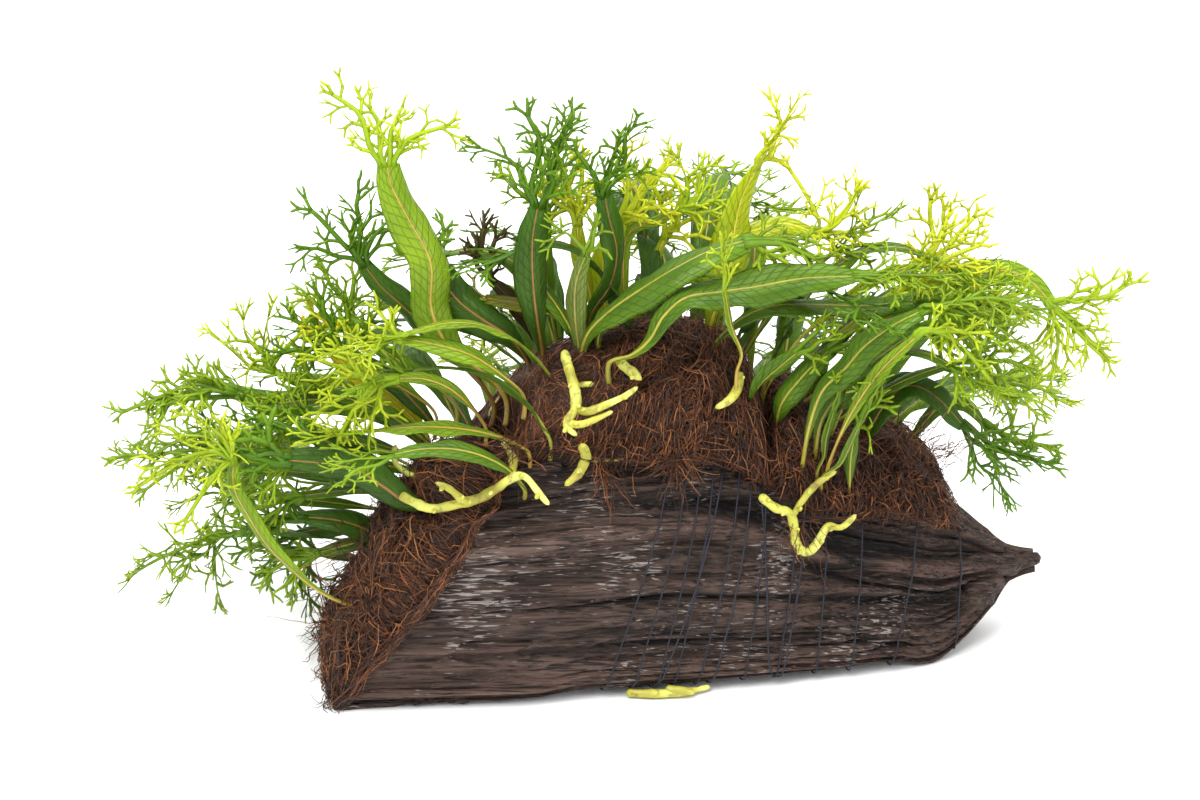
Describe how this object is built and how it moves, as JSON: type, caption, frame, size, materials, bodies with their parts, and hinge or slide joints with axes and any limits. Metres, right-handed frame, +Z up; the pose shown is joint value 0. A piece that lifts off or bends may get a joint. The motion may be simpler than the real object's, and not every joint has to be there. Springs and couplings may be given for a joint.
{
  "type": "java fern on driftwood",
  "caption": "Java fern with finely forked leaf tips, its brown root mats and creeping rhizomes tied with dark thread to a split piece of driftwood.",
  "frame": {"origin": "on the surface that the log rests on, under the middle of the whole plant", "axes": "+X along the log towards its broken, pointed end, +Z up, so that -Y is the side with the long front leaves"},
  "size_m": [0.2855, 0.1139, 0.1693],
  "materials": {
    "driftwood": "wet, dark, rough grain",
    "root_fibre": "matted fibres",
    "rhizome": "smooth, slightly glossy",
    "leaf": "thin, wet and glossy",
    "thread": "matt cotton"
  },
  "bodies": {
    "root": {"driftwood": "driftwood", "leaf_back_centre": "leaf", "leaf_back_centre_left": "leaf", "leaf_back_far_right": "leaf", "leaf_back_left": "leaf", "leaf_back_low_left": "leaf", "leaf_back_right": "leaf", "leaf_bright_upright": "leaf", "leaf_dark_centre": "leaf", "leaf_dark_centre_left": "leaf", "leaf_droop_right": "leaf", "leaf_droop_right_back": "leaf", "leaf_far_arch": "leaf", "leaf_fine_spray_right": "leaf", "leaf_floor_crest": "leaf", "leaf_front_a": "leaf", "leaf_front_b": "leaf", "leaf_front_d": "leaf", "leaf_great_arch": "leaf", "leaf_grey_back": "leaf", "leaf_left_crest_b": "leaf", "leaf_left_crest_c": "leaf", "leaf_left_crest_d": "leaf", "leaf_left_crested": "leaf", "leaf_left_loop": "leaf", "leaf_left_low_blade": "leaf", "leaf_left_pair_low": "leaf", "leaf_left_pair_top": "leaf", "leaf_left_shelf": "leaf", "leaf_left_wing": "leaf", "leaf_light_crest_centre": "leaf", "leaf_lime_arch": "leaf", "leaf_long_front": "leaf", "leaf_low_bright": "leaf", "leaf_low_olive": "leaf", "leaf_mid_a": "leaf", "leaf_mid_b": "leaf", "leaf_olive_back": "leaf", "leaf_second_long": "leaf", "leaf_strap_right": "leaf", "leaf_tall_left": "leaf", "leaf_under_arch": "leaf", "leaf_upright_thin": "leaf", "leaf_weeping_crest": "leaf", "leaf_yellow_stub": "leaf", "rhizome_left": "rhizome", "rhizome_left_upper": "rhizome", "rhizome_middle": "rhizome", "rhizome_middle_lower": "rhizome", "rhizome_right": "rhizome", "rhizome_top": "rhizome", "rhizome_under": "rhizome", "rhizome_upper_right": "rhizome", "roots_middle": "root_fibre", "roots_on_sawn_end": "root_fibre", "roots_right": "root_fibre", "thread": "thread"}
  },
  "joints": []
}
